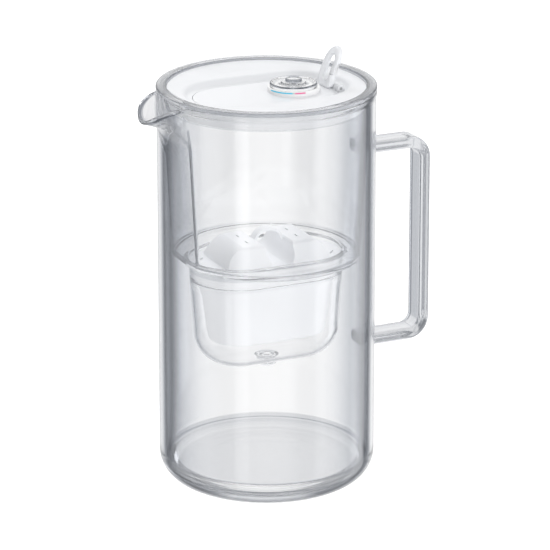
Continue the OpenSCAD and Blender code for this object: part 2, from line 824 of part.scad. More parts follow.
// The loop seen along X: a strip round a slot with round ends
module loop_front() {
    tip_z = loop_h - loop_w / 2;
    slot_z = loop_foot + slot_r;
    difference() {
        union() {
            translate([0, tip_z]) circle(loop_w / 2);
            polygon([[-loop_foot_w / 2, 0], [loop_foot_w / 2, 0], [loop_w / 2, loop_rise],
                     [loop_w / 2, tip_z], [-loop_w / 2, tip_z], [-loop_w / 2, loop_rise]]);
        }
        translate([0, tip_z]) circle(slot_r);
        translate([0, slot_z]) circle(slot_r);
        translate([-slot_r, slot_z]) square([2 * slot_r, tip_z - slot_z]);
    }
}

module thumb_loop() color([0.93, 0.95, 0.97, 0.8]) {
    translate([loop_x, 0, trough_floor])
        intersection() {
            across(2 * loop_w) loop_side();
            rotate([90, 0, 90]) linear_extrude(4 * loop_w, center = true) loop_front();
        }
    for (side = [-1, 1])
        translate([loop_x, side * peg_y, flap_low]) cylinder(r = peg_r, h = flap_t + peg_rise);
}

// ---------------------------------------------------------------- reminder dial

module dial_scale() color([0.98, 0.99, 1])
    translate([dial_x, 0, 0])
        difference() {
            rotate_extrude()
                polygon([[0, trough_floor], [scale_r, trough_floor],
                         [scale_r, scale_top - edge_chamfer], [scale_r - edge_chamfer, scale_top],
                         [scale_r - scale_rim, scale_top], [scale_r - scale_rim, knob_low],
                         [0, knob_low]]);
            translate([0, 0, trough_floor - over])
                cylinder(r = axle_r + axle_fit, h = scale_h + 3 * over);
        }

module dial_knob() color([0.8, 0.86, 0.9, 0.4])
    translate([dial_x, 0, 0])
        difference() {
            rotate_extrude()
                polygon([[0, axle_low], [axle_r, axle_low], [axle_r, knob_low],
                         [knob_hollow_in, knob_low], [knob_hollow_in, knob_low + knob_hollow_h],
                         [knob_hollow_out, knob_low + knob_hollow_h], [knob_hollow_out, knob_low],
                         [knob_r, knob_low], [knob_r, knob_top - edge_chamfer],
                         [knob_r - edge_chamfer, knob_top], [button_r, knob_top],
                         [button_r, knob_top + button_h - edge_chamfer],
                         [button_r - edge_chamfer, knob_top + button_h],
                         [dimple_r, knob_top + button_h],
                         [dimple_r, knob_top + button_h - dimple_h],
                         [0, knob_top + button_h - dimple_h]]);
            // Groove for the clip
            translate([0, 0, flap_low - clip_gap - clip_t])
                difference() {
                    cylinder(r = axle_r + over, h = clip_t);
                    cylinder(r = axle_r - clip_grip, h = clip_t);
                }
            // Flat that points to the scale
            rotate([0, 0, pointer_turn])
                translate([knob_r - pointer_cut, -knob_r, knob_low - over])
                    cube([knob_r, 2 * knob_r, knob_t + 2 * over]);
        }

module dial_clip() color([0.7, 0.72, 0.75])
    translate([dial_x, 0, flap_low - clip_gap - clip_t])
        rotate([0, 0, clip_open / 2])
            rotate_extrude(angle = 360 - clip_open)
                translate([axle_r - clip_grip, 0]) square([clip_r - axle_r + clip_grip, clip_t]);

jug_body();
jug_handle();
hopper();
cartridge_well();
well_outlet();
hopper_vent();
cartridge_cup();
cartridge_cap();
cartridge_seal();
upper_screen();
lower_screen();
filter_media();
lid_shell();
hinge_pin();
fill_flap();
thumb_loop();
dial_scale();
dial_knob();
dial_clip();
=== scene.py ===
from math import cos, pi, radians, sin

import bmesh
import bpy
from mathutils import Matrix, Vector


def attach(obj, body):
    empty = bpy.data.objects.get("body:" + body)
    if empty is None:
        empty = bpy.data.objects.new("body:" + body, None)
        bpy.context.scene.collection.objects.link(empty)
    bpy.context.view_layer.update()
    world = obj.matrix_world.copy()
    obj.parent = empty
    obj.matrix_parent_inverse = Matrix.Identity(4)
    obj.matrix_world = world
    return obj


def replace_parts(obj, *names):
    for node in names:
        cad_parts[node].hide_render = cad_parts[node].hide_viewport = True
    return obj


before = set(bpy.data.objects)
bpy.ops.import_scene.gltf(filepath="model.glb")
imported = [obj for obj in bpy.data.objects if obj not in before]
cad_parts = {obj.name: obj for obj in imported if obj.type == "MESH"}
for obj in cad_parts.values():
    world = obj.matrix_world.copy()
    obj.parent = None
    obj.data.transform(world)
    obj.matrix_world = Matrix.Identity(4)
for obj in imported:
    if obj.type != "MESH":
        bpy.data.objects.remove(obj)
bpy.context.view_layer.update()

# ------------------------------------------------------------------ tripod
# A long portrait lens stands 2.5 m away and looks down on the lid at 18 degrees. The spout points to
# the left and the handle to the right.
MM = 0.001
SIDE_TURN, DOWN_TILT = radians(-25), radians(18.4309)
STAND_OFF = 2505.87 * MM
AIM = Vector((0, 0, 133.945)) * MM
AIM_RIGHT, AIM_UP = 5.503 * MM, 4.002 * MM
FILM, LENS_PER_FILM = 36, 6.9595
NEAREST, FARTHEST = 0.1, 60

rightward = Vector((cos(SIDE_TURN), sin(SIDE_TURN), 0))
backward = Vector((sin(SIDE_TURN) * cos(DOWN_TILT), -cos(SIDE_TURN) * cos(DOWN_TILT), sin(DOWN_TILT)))
upward = backward.cross(rightward)
lens = bpy.data.cameras.new("portrait_lens")
lens.sensor_width = FILM
lens.lens = LENS_PER_FILM * FILM
lens.clip_start, lens.clip_end = NEAREST, FARTHEST
camera = bpy.data.objects.new("portrait_lens", lens)
bpy.context.scene.collection.objects.link(camera)
place = AIM + rightward * AIM_RIGHT + upward * AIM_UP + backward * STAND_OFF
camera.matrix_world = Matrix([[rightward[i], upward[i], backward[i], place[i]] for i in range(3)]
                             + [[0, 0, 0, 1]])
bpy.context.scene.camera = camera


# ------------------------------------------------------------------ table and light tent
# A matt white table top inside a cloth light tent. The tent has four bright windows with dimmer
# cloth between them, so that clear walls show grey along their edges.
class Wire:
    """One output of a node. Arithmetic on it adds Math nodes."""

    def __init__(self, tree, socket):
        self.tree, self.socket = tree, socket

    def maths(self, operation, *others):
        return Finish(self.tree).node("Math", {"operation": operation}, self, *others)

    def after(self, first, operation):
        """The same with this output as the second term."""
        return Finish(self.tree).node("Math", {"operation": operation}, first, self)

    def __add__(self, other):
        return self.maths("ADD", other)

    def __radd__(self, other):
        return self.after(other, "ADD")

    def __sub__(self, other):
        return self.maths("SUBTRACT", other)

    def __rsub__(self, other):
        return self.after(other, "SUBTRACT")

    def __mul__(self, other):
        return self.maths("MULTIPLY", other)

    def __rmul__(self, other):
        return self.after(other, "MULTIPLY")

    def __truediv__(self, other):
        return self.maths("DIVIDE", other)

    def __rtruediv__(self, other):
        return self.after(other, "DIVIDE")

    def __pow__(self, other):
        return self.maths("POWER", other)

    def __rpow__(self, other):
        return self.after(other, "POWER")

    def between(self, low, high):
        """0 up to low, 1 from high on, and a soft step between them."""
        return Finish(self.tree).node("MapRange", {"interpolation_type": "SMOOTHSTEP"},
                                      self, low, high, 0.0, 1.0)

    def within(self, rise, fall):
        """1 between two soft steps, each given by its two ends."""
        return self.between(*rise) * (1 - self.between(*fall))

    def near(self, middle, core, edge):
        """1 up to core from the middle, and a soft step to 0 at edge from it."""
        return 1 - (self - middle).maths("ABSOLUTE").between(core, edge)


class Finish:
    """Adds nodes to the tree of a material or of the light tent."""

    def __init__(self, owner):
        if isinstance(owner, bpy.types.NodeTree):
            self.tree = owner
            return
        if isinstance(owner, str):
            owner = bpy.data.materials.new(owner)
        owner.use_nodes = True
        self.owner, self.tree = owner, owner.node_tree
        self.tree.nodes.clear()

    def node(self, kind, settings=None, *terms, out=0, **named):
        """A node with its settings made first, then its sockets by order or by name. A term that is
        None leaves its socket alone."""
        node = self.tree.nodes.new("ShaderNode" + kind)
        for name, value in (settings or {}).items():
            if name == "stops":
                ramp = node.color_ramp.elements
                ramp[0].position, ramp[0].color = value[0]
                ramp[-1].position, ramp[-1].color = value[-1]
                for at, colour in value[1:-1]:
                    ramp.new(at).color = colour
            else:
                setattr(node, name, value)
        by_name = [(node.inputs[name.replace("_", " ")], term) for name, term in named.items()]
        for slot, term in [*zip(node.inputs, terms), *by_name]:
            if isinstance(term, Wire):
                self.tree.links.new(term.socket, slot)
            elif term is not None:
                slot.default_value = term
        return Wire(self.tree, node.outputs[out]) if node.outputs else None

    def parts(self, vector):
        """The three numbers of a vector."""
        return [self.node("SeparateXYZ", None, vector, out=i) for i in range(3)]

    def spot(self):
        """The place on the piece in metres, which moves with its body."""
        return self.node("TexCoord", out="Object")

    def tint(self, share, first, second, way="MIX"):
        """Two colours mixed by a share. They are the seventh and eighth socket of a Mix node."""
        return self.node("Mix", {"data_type": "RGBA", "blend_type": way},
                         share, *[None] * 5, first, second, out=2)

    def lit(self, shader):
        """Ends the material with its shader and gives the material back."""
        self.node("OutputMaterial", None, Surface=shader)
        return self.owner


def grey(value, blue=1.0):
    """A grey, slightly blue where blue is over 1."""
    return (value, value * (1 + 0.35 * (blue - 1)), value * blue, 1)


tent = bpy.data.worlds.new("light_tent")
bpy.context.scene.world = tent
cloth = Finish(tent)
east, north, height = cloth.parts(cloth.node("TexCoord"))
across = east * rightward.x + north * rightward.y
ahead = north * rightward.x - east * rightward.y
turn = across.maths("ARCTAN2", ahead) * (0.5 / pi) + 1
quarter = (turn * 4 + 0.5).maths("FRACT")
# How bright the cloth is, by degrees from the middle of each quarter: the windows, and the cloth above
WINDOWS = ((-45, 0.40), (-38, 0.40), (-24, 0.85), (-12, 0.93), (0, 1.0), (24, 1.0), (37, 0.40), (44.9, 0.40))
RIM_LIGHT = ((-45, 0.30), (-22, 0.32), (-14, 0.9), (0, 1.0), (14, 1.0), (22, 0.40), (30, 0.26), (44.9, 0.30))
# Lamps behind the cloth make upright streaks: the degrees round from straight ahead over which each
# one's light comes up and goes down, and how strong it is
STREAKS = (((-164, -158), (-148, -143), 0.55), ((112, 116), (124, 128), 0.35), ((49, 54), (70, 80), 1.4))
# The heights where the ground, the windows, the cloth above them and the roof meet, from -1 to 1
GROUND_EDGE, WINDOW_EDGE, ROOF_EDGE = (-0.85, -0.45), (-0.12, 0.02), (0.40, 0.55)


def cloth_round(stops):
    """The cloth's brightness all round. Where it is dimmer it is bluer."""
    stops = [(0.5 + at / 90, grey(bright, 1 + 0.14 * (1 - bright))) for at, bright in stops]
    return cloth.node("ValToRGB", {"stops": stops}, quarter)


full = (turn + 0.5).maths("FRACT") * 360 - 180
glow = sum(full.within(rise, fall) * power for rise, fall, power in STREAKS)
below = cloth.tint(1.0, cloth_round(WINDOWS), cloth.node("CombineXYZ", None, glow, glow, glow), "ADD")
above = cloth.tint(height.between(*ROOF_EDGE), cloth_round(RIM_LIGHT), grey(0.85))
light = cloth.tint(height.between(*WINDOW_EDGE), below, above)
light = cloth.tint(height.between(*GROUND_EDGE), grey(0.8, 1.03), light)
cloth.node("OutputWorld", None, Surface=cloth.node("Background", None, light, 1.0))


def lamp(name, at, size, power):
    """A soft box that lights the piece and isn't seen in the clear walls."""
    light = bpy.data.lights.new(name, "AREA")
    light.shape, light.size, light.size_y = "RECTANGLE", *size
    light.energy = power
    holder = bpy.data.objects.new(name, light)
    holder.location = at
    holder.rotation_euler = (AIM - Vector(at)).to_track_quat("-Z", "Y").to_euler()
    holder.visible_glossy = holder.visible_transmission = holder.visible_camera = False
    bpy.context.scene.collection.objects.link(holder)


lamp("key_box", (0.35, 1.9, 1.25), (0.9, 0.5), 31)
lamp("fill_box", (0.5, -2.0, 0.9), (0.8, 0.8), 16)

TABLE_R, TABLE_DROP, TABLE_GLOW = 6, 0.3 * MM, 0.62
table_mesh = bpy.data.meshes.new("table_top")
sheet = bmesh.new()
bmesh.ops.create_circle(sheet, cap_ends=True, segments=96, radius=TABLE_R,
                        matrix=Matrix.Translation((0, 0, -TABLE_DROP)))
sheet.to_mesh(table_mesh)
sheet.free()
table = bpy.data.objects.new("table_top", table_mesh)
bpy.context.scene.collection.objects.link(table)
matt = Finish("table_white")
speckle = matt.node("TexNoise", None, Scale=60.0, Detail=3.0)
table_mesh.materials.append(matt.lit(matt.node(
    "BsdfPrincipled", None, Base_Color=grey(0.5), Roughness=0.55 + 0.1 * speckle,
    Emission_Color=grey(1.0), Emission_Strength=TABLE_GLOW)))
table.visible_transmission = table.visible_glossy = False

BOUNCES = 40
bpy.context.scene.view_settings.view_transform = "Standard"
cycles = bpy.context.scene.cycles
cycles.max_bounces = cycles.transmission_bounces = BOUNCES
cycles.glossy_bounces = cycles.transparent_max_bounces = BOUNCES


# ------------------------------------------------------------------ jug body
# One piece of blown borosilicate glass: a thick base with a well rounded edge, a plain wall, a fire
# polished rim, and a spout that is drawn out of the hot rim.
JUG_R, JUG_INNER_R, JUG_H = 71, 67, 265.5
BASE_T, BASE_ROUND, FLOOR_ROUND, FLOOR_RISE, FLOOR_POWER = 15, 19, 5, 7, 1.4
PUNT_R, PUNT_H = 45, 0.9
RIM_LOW, RIM_LOW_INSIDE, BEAD_OUT = 257, 256, 0.5
SPOUT_TURN, SPOUT_REACH, SPOUT_DROOP, SPOUT_DEPTH = 20, 16.5, 13.8, 23
LIP_T, LIP_EDGE, OUT_POWER, UP_POWER = 2.6, 1.2, 1.4, 0.75


def piece(name, verts, faces, finish, body, slot, sharp=None, lines=None):
    """A new smooth mesh object, in millimetres, that rides on a body. lines says how dark a painted
    line each of its points has."""
    mesh = bpy.data.meshes.new(name)
    mesh.from_pydata([Vector(v) * MM for v in verts], [], faces)
    if lines:
        mesh.attributes.new("line", "FLOAT", "POINT").data.foreach_set("value", lines)
    form = bmesh.new()
    form.from_mesh(mesh)
    bmesh.ops.recalc_face_normals(form, faces=form.faces)
    form.to_mesh(mesh)
    form.free()
    mesh.materials.append(finish)
    mesh.shade_smooth()
    if sharp:
        mesh.set_sharp_from_angle(angle=radians(sharp))
    thing = bpy.data.objects.new(name, mesh)
    bpy.context.scene.collection.objects.link(thing)
    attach(thing, body)
    return thing


def rings(columns):
    """Faces between columns of points that go round an axis. Each column starts and ends on the axis."""
    verts = [columns[0][0]] + [p for column in columns for p in column[1:-1]] + [columns[0][-1]]
    tall, last = len(columns[0]) - 2, len(verts) - 1
    faces = []
    for j in range(len(columns)):
        a, b = 1 + j * tall, 1 + (j + 1) % len(columns) * tall
        faces.append((0, b, a))
        faces += [(a + i, b + i, b + i + 1, a + i + 1) for i in range(tall - 1)]
        faces.append((last, a + tall - 1, b + tall - 1))
    return verts, faces


def steps(first, last, count):
    """Even steps from just after first up to last."""
    return [first + (last - first) * (i + 1) / count for i in range(count)]


def rounded(points):
    """A bent line with its corners cut three times, its two ends kept."""
    for _ in range(3):
        cut = [points[0]]
        for (r0, z0), (r1, z1) in zip(points, points[1:]):
            cut += [(r0 * 0.75 + r1 * 0.25, z0 * 0.75 + z1 * 0.25)]
            cut += [(r0 * 0.25 + r1 * 0.75, z0 * 0.25 + z1 * 0.75)]
        points = cut + [points[-1]]
    return points


def off_spout(degrees):
    """How far a turn round the jug is from the spout's middle: 1 where the spout ends and beyond."""
    return min(1, abs(degrees - 180) / SPOUT_TURN)


def jug_profile(off):
    """Radius and height from the bottom's centre round the rim to the floor's centre, in a column
    that stands off the spout's middle."""
    middle, swell = cos(pi / 2 * off), (1 - off ** 3) ** 1.5
    lip = JUG_H - (SPOUT_DROOP - LIP_T) * middle ** 2
    throat = JUG_H - (SPOUT_DEPTH - LIP_T) * middle ** 0.8
    bead = BEAD_OUT * (1 - swell)
    out_low, in_low = min(throat - LIP_T, RIM_LOW), min(throat, RIM_LOW_INSIDE)
    out_reach = SPOUT_REACH * swell
    in_reach = (SPOUT_REACH + JUG_R - JUG_INNER_R - LIP_EDGE) * swell
    line = [(r, PUNT_H * (1 - (r / PUNT_R) ** 2)) for r in (0, 12, 24, 34, 41)] + [(PUNT_R, 0)]
    line += [(r, 0) for r in steps(PUNT_R, JUG_R - BASE_ROUND, 3)]
    line += [(JUG_R - BASE_ROUND * (1 - sin(a)), BASE_ROUND * (1 - cos(a))) for a in steps(0, pi / 2, 16)]
    line += [(JUG_R, z) for z in steps(BASE_ROUND, out_low, 16)]
    for u in steps(0, 1, 12):
        rise = max(0, u - 0.5) * 2
        line.append((JUG_R + out_reach * u ** OUT_POWER + bead * rise * rise * (3 - 2 * rise),
                     out_low + (lip - LIP_T - out_low) * u ** UP_POWER))
    inside = [(JUG_INNER_R + in_reach * u ** OUT_POWER, in_low + (lip - in_low) * u ** UP_POWER)
              for u in steps(1, 0, 12)]
    edge_out, edge_in = JUG_R + out_reach + bead, JUG_INNER_R + in_reach
    line += rounded([(edge_out, lip - LIP_T), (edge_out, lip), (edge_in, lip), inside[0]])[1:-1]
    line += inside
    line += [(JUG_INNER_R, z) for z in steps(in_low, BASE_T + FLOOR_RISE, 16)]
    line += [(JUG_INNER_R - FLOOR_ROUND * (1 - cos(a)) ** FLOOR_POWER, BASE_T + FLOOR_RISE * (1 - sin(a)))
             for a in steps(0, pi / 2, 10)]
    return line + [(r, BASE_T) for r in (58, 45, 30, 15, 0)]


def turned(profile, degrees):
    """A line of radius and height as points at a turn round the axis."""
    a = radians(degrees)
    return [(r * cos(a), r * sin(a), z) for r, z in profile]


def clear(name, ior, edge_on, wave, marks):
    """A clear hard material with the faint waves of its making. It is greyer towards its edges by the
    angle it is seen at, painted shade for the dark surroundings seen there. edge_on lists how clear it
    is by how far it turns from the eye, from 0 to 1. marks gives the share of that greyness and how
    much light passes, which lays painted dark lines, from the spot in millimetres and how far the
    surface tilts."""
    finish = Finish(name)
    waves = finish.node("TexNoise", None, Vector=finish.spot(), Scale=28.0, Detail=2.0)
    smear = finish.node("TexNoise", None, Vector=finish.spot(), Scale=9.0, Detail=3.0)
    tilt = finish.parts(finish.node("TexCoord", out="Normal"))[2].maths("ABSOLUTE")
    spot = [v / MM for v in finish.parts(finish.spot())]
    share, dim = marks(finish, spot, tilt, 1 - tilt.between(0.15, 0.8))
    facing = finish.node("LayerWeight", None, 0.5, out="Facing") * share
    stops = [(at, grey(passes, 1 + 0.22 * (1 - passes))) for at, passes in edge_on]
    # A painted dark line takes a little more of the red, as thick glass does
    shade = finish.node("CombineXYZ", None, dim, dim ** 0.96, dim ** 0.88)
    solid = finish.node(
        "BsdfPrincipled", None, IOR=ior, Transmission_Weight=1.0, Roughness=0.003 * smear,
        Base_Color=finish.tint(1.0, finish.node("ValToRGB", {"stops": stops}, facing), shade, "MULTIPLY"),
        Normal=finish.node("Bump", None, Strength=wave, Distance=1 * MM, Height=waves))
    # Light that has bounced many times inside the wall leaves it, dimmed
    trapped = finish.node("LightPath", out="Ray Depth").between(8, 14)
    leaving = finish.node("BsdfTransparent", None, grey(0.66, 1.04))
    solid = finish.node("MixShader", None, trapped, solid, leaving)
    # Light for what stands inside comes straight through
    through = finish.node("LightPath", out="Is Shadow Ray").maths(
        "MAXIMUM", finish.node("LightPath", out="Is Diffuse Ray"))
    bare = finish.node("BsdfTransparent", None, grey(0.97))
    return finish.lit(finish.node("MixShader", None, through, solid, bare))


# How clear the wall is, by 1 - cosine of the angle it is seen at: painted shade that stands for the
# dark surroundings seen in the wall's edges. It is darkest where the eye looks along the wall, and
# clear again at the very edge, where light runs inside the glass.
EDGE_ON = ((0, 0.99), (0.15, 0.97), (0.21, 0.93), (0.275, 0.87), (0.32, 0.78), (0.375, 0.69), (0.43, 0.60),
           (0.48, 0.48), (0.53, 0.33), (0.60, 0.19), (0.67, 0.12), (0.72, 0.4), (0.77, 0.80), (0.83, 0.78),
           (0.89, 0.30), (1, 0.05))
# Where the lip's lower and inner edges and the floor's rounded edge come in the profile's points, and
# how dark a painted line each shows
UNDER_EDGE, INNER_EDGE, FLOOR_EDGE = range(51, 56), range(79, 83), range(114, 118)
UNDER_LINE, INNER_LINE, FLOOR_LINE = 1, 0.55, 0.5
BASE_RING_Z = 12.6


def jug_painted_shade(finish, spot, tilt, share):
    """Painted shade: no grey edges in the thin glass of the spout, dark lines painted along its lip and
    round the base, and a thick floor painted greyer."""
    x, y, z = spot
    spout = (1 - x.between(-64, -58)) * z.between(238, 246)
    base = 1 - z.between(20, 25)
    flat = tilt.between(0.90, 0.98)
    line = finish.node("Attribute", {"attribute_name": "line"}, out="Fac")
    # A dark ring painted round the base's rounded edge, painted shade
    painted_base_ring = z.near(BASE_RING_Z, 0.15, 0.55) * ((x * x + y * y) ** 0.5).between(JUG_R - 1.5, JUG_R - 1)
    dim = (1 - base * flat * 0.26) * (1 - line * 0.93) * (1 - painted_base_ring * 0.8) * (1 - spout * 0.12)
    share = share * (1 - spout)
    return share + base * (1 - flat) * (1 - share), dim


jug_turns = [180 - SPOUT_TURN, *steps(180 - SPOUT_TURN, 180 + SPOUT_TURN, 64)]
jug_turns += steps(180 + SPOUT_TURN, 540 - SPOUT_TURN, 216)[:-1]
columns = [turned(jug_profile(off_spout(a)), a) for a in jug_turns]
lines = [0]
for a in jug_turns:
    fade = min(1, 4 * (1 - off_spout(a)))
    lines += [fade * (UNDER_LINE * (i in UNDER_EDGE) + INNER_LINE * (i in INNER_EDGE))
              + FLOOR_LINE * (i in FLOOR_EDGE) for i in range(1, len(columns[0]) - 1)]
lines.append(0)
jug = piece("jug_glass_body", *rings(columns), clear("jug_glass", 1.47, EDGE_ON, 0.005, jug_painted_shade),
            "jug", "jug_glass", sharp=50, lines=lines)
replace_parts(jug, "jug_body")


# ------------------------------------------------------------------ jug handle
# A clear bar of rounded section, bent twice while hot and fused to the wall at both ends. The solid
# bar's inner face gets a painted darker band, and its fused ends are greyed with painted shade.
GRIP_FACE_X, ARM_END_X = 107.6, 74


def dress(node, finish):
    """Gives a CAD node its finish."""
    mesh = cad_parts[node].data
    for i in range(len(mesh.materials)):
        mesh.materials[i] = finish
    if not mesh.materials:
        mesh.materials.append(finish)


def handle_painted_shade(finish, spot, tilt, share):
    """Painted shade: a darker band on the inner face along the grip, and greyer ends of the arms."""
    inner = spot[0].within((GRIP_FACE_X - 0.3, GRIP_FACE_X), (GRIP_FACE_X + 0.5, GRIP_FACE_X + 1.3))
    arm_ends = 1 - spot[0].between(ARM_END_X - 1.5, ARM_END_X)
    return share, (1 - inner * 0.3) * (1 - arm_ends * 0.45)


dress("jug_handle", clear("handle_glass", 1.47, ((0, 0.80), (0.3, 0.78), (0.6, 0.55), (1, 0.35)), 0.002,
                          handle_painted_shade))


# ------------------------------------------------------------------ hopper
# The upper tray is one injection moulding in clear plastic: a flange that hangs on the rim, a tapered
# wall with a flat side that the water pours past, and an oval well with a round outlet below it.
TRAY_R, TRAY_WALL, TRAY_LOW, COLLAR_LOW = 66.6, 2, 154, 246
FLANGE_R, FLANGE_LOW, FLANGE_TOP, LEDGE_R, COLLAR_R = 71.5, 265.55, 268, 62.8, 64.6
TRAY_DRAFT, TRAY_ROUND, FLOOR_FILLET = radians(3.2), 1.1, 3
FLAT_CUT, FLAT_FADE, FLAT_TOP = 3.6, 236, 252
WALL_HEIGHTS = (175, 195, 215, 230, 235, 238, 241, 244, 248, 251, 254)
WELL_SPINE, WELL_R, WELL_LOW, WELL_WALL = 19.574, 33.2, 82.5, 1.7
WELL_DRAFT, WELL_ROUND, WELL_LIP = radians(3.7), 21, 1.6
MOUTH_R, MOUTH_LIP, SEAT_R, SEAT_Z = 31.5, 1.4, 30, 141
OUTLET_R, OUTLET_H, OUTLET_WALL, BORE_R, BORE_H = 7, 4.5, 1.4, 3, 3.1


def filleted(corners):
    """A bent line of radius, height and corner radius, with every corner turned into an arc."""
    line = []
    for i, (x, z, round_r) in enumerate(corners):
        if round_r == 0:
            line.append((x, z))
            continue
        before, here, after = [Vector(corners[(i + k) % len(corners)][:2]) for k in (-1, 0, 1)]
        into, out = (before - here).normalized(), (after - here).normalized()
        half = into.angle(out) / 2
        set_back = round_r * cos(half) / sin(half)
        centre = here + (into + out).normalized() * (round_r / sin(half))
        start, end = here + into * set_back - centre, here + out * set_back - centre
        count = max(2, round(6 * (pi - 2 * half) / pi * 2))
        line += [tuple(centre + start.slerp(end, k / count) * round_r) for k in range(count + 1)]
    return line


def oval(r, a):
    """How far the well's outline of end radius r lies from the axis, at a turn a."""
    c, s = abs(cos(a)), abs(sin(a))
    if s > 1e-9 and r * c / s < WELL_SPINE:
        return r / s
    return WELL_SPINE * c + (r * r - WELL_SPINE ** 2 * s * s) ** 0.5


def tray(r, z, a):
    """The tray's round outline with its flat side, at a turn a. The flat runs out softly at its top."""
    if cos(a) > -0.7:
        return r
    ease = min(1, max(0, (z - FLAT_FADE) / (FLAT_TOP - FLAT_FADE)))
    cut = FLAT_CUT * (1 - ease * ease * (3 - 2 * ease))
    soft = 0.5 + 2.5 * ease
    flat = (r - cut) / -cos(a)
    gap = max(0, soft - abs(r - flat)) / soft
    return min(r, flat) - gap * gap * soft / 4


def tray_wall(z, inset):
    return TRAY_R - inset - max(0, COLLAR_LOW - z) * sin(TRAY_DRAFT) / cos(TRAY_DRAFT)


def well_wall(z, inset):
    return WELL_R - inset - (TRAY_LOW - z) * sin(WELL_DRAFT) / cos(WELL_DRAFT)


def level(first, last, z):
    """Three points between two radii at one height."""
    return [(first + (last - first) * k / 4, z) for k in (1, 2, 3)]


def tray_outside(a):
    """From the flange's top down to the edge of the tray's underside."""
    line = filleted([(COLLAR_R, FLANGE_TOP, 0.7), (FLANGE_R, FLANGE_TOP, 1.0), (FLANGE_R, FLANGE_LOW, 0.5),
                     (TRAY_R, FLANGE_LOW, 0.3), (TRAY_R, COLLAR_LOW, 0),
                     (tray_wall(TRAY_LOW, 0), TRAY_LOW, TRAY_ROUND), (48, TRAY_LOW, 0)])[:-1]
    at = line.index((TRAY_R, COLLAR_LOW))
    line[at:at + 1] = [(tray_wall(z, 0), z) for z in (258, *reversed(WALL_HEIGHTS))]
    return [(tray(r, z, a), z) for r, z in line]


def well_outside(a):
    """From the tray's underside down the well's outside to its flat bottom."""
    line = [(WELL_R + WELL_LIP * (1 - sin(k)), TRAY_LOW - WELL_LIP * (1 - cos(k)))
            for k in (0, 0.4, 0.8, 1.2)]
    line += [(well_wall(z, 0), z) for z in (151, 144, 136, 128, 120, 112, 107)]
    round_z = WELL_LOW + WELL_ROUND
    foot_r = well_wall(round_z, 0) - WELL_ROUND / cos(WELL_DRAFT)
    line += [(foot_r + WELL_ROUND * cos(k), round_z - WELL_ROUND * sin(k)) for k in steps(0, pi / 2, 18)]
    return [(oval(r, a), z) for r, z in line]


def outlet():
    """From the well's bottom round the outlet's tube and up its bore."""
    tip_r, tip, floor = OUTLET_R - 0.7, WELL_LOW - OUTLET_H, WELL_LOW + WELL_WALL
    cup_r = tip_r - OUTLET_WALL
    return [(OUTLET_R + 1.4, WELL_LOW), (OUTLET_R + 0.6, WELL_LOW), (OUTLET_R, WELL_LOW - 0.4),
            (tip_r, tip + 0.3), (tip_r - 0.3, tip), (cup_r + 0.3, tip), (cup_r, tip + 0.3),
            (cup_r, tip + BORE_H - 0.3), (cup_r - 0.3, tip + BORE_H), (BORE_R, tip + BORE_H),
            (BORE_R, WELL_LOW + 0.1), (BORE_R, floor - 0.2), (BORE_R + 0.3, floor), (5.5, floor)]


def well_inside(a):
    """From the well's floor past the cartridge's seat up to the tray's floor."""
    round_z, round_r, floor = WELL_LOW + WELL_ROUND, WELL_ROUND - WELL_WALL, TRAY_LOW + TRAY_WALL
    foot_r = well_wall(round_z, WELL_WALL) - round_r / cos(WELL_DRAFT)
    line = [(foot_r, WELL_LOW + WELL_WALL)]
    line += [(foot_r + round_r * sin(k), round_z - round_r * cos(k)) for k in steps(0, pi / 2, 18)]
    line += [(well_wall(z, WELL_WALL), z) for z in (108, 114, 121, 128, 134, 138.8)]
    line += [(SEAT_R + 0.3, SEAT_Z - 1.5), (SEAT_R, SEAT_Z - 1.2), (SEAT_R, SEAT_Z - 0.3),
             (SEAT_R + 0.3, SEAT_Z), (MOUTH_R - 0.2, SEAT_Z), (MOUTH_R, SEAT_Z + 0.2)]
    line += [(MOUTH_R, z) for z in (144, 148, 152, floor - MOUTH_LIP)]
    line += [(MOUTH_R + MOUTH_LIP * (1 - cos(k)), floor - MOUTH_LIP * (1 - sin(k)))
             for k in (0.4, 0.8, 1.2, pi / 2)]
    return [(oval(r, a), z) for r, z in line]


def tray_inside(a):
    """From the edge of the tray's floor up past the lid's ledge to the flange."""
    floor = TRAY_LOW + TRAY_WALL
    round_z = floor + FLOOR_FILLET
    foot_r = tray_wall(round_z, TRAY_WALL) - FLOOR_FILLET
    line = [(foot_r, floor)]
    line += [(foot_r + FLOOR_FILLET * sin(k), round_z - FLOOR_FILLET * cos(k))
             for k in steps(0, pi / 2, 6)]
    line += [(tray_wall(z, TRAY_WALL), z) for z in (*WALL_HEIGHTS, 257)]
    line += filleted([(COLLAR_R, 259, 0), (COLLAR_R, 260.6, 0.5), (LEDGE_R, 262.4, 0.3), (LEDGE_R, 264, 0.3),
                      (COLLAR_R, 264, 0.2), (COLLAR_R, FLANGE_TOP - 1.5, 0)])
    return [(tray(r, z, a), z) for r, z in line]


def tray_section(degrees):
    """The closed section of tray and well on one side of the axis."""
    a = radians(degrees % 360)
    outside, well, inside = tray_outside(a), well_outside(a), tray_inside(a)
    mouth = well_inside(a)
    return (outside + level(outside[-1][0], well[0][0], TRAY_LOW) + well + outlet()
            + mouth + level(mouth[-1][0], inside[0][0], TRAY_LOW + TRAY_WALL) + inside)


def loops(columns):
    """Faces round a row of closed sections that go round an axis."""
    tall = len(columns[0])
    verts = [p for column in columns for p in column]
    faces = []
    for j in range(len(columns)):
        a, b = j * tall, (j + 1) % len(columns) * tall
        for i in range(tall):
            n = (i + 1) % tall
            faces.append((a + i, b + i, b + n, a + n))
    return verts, faces


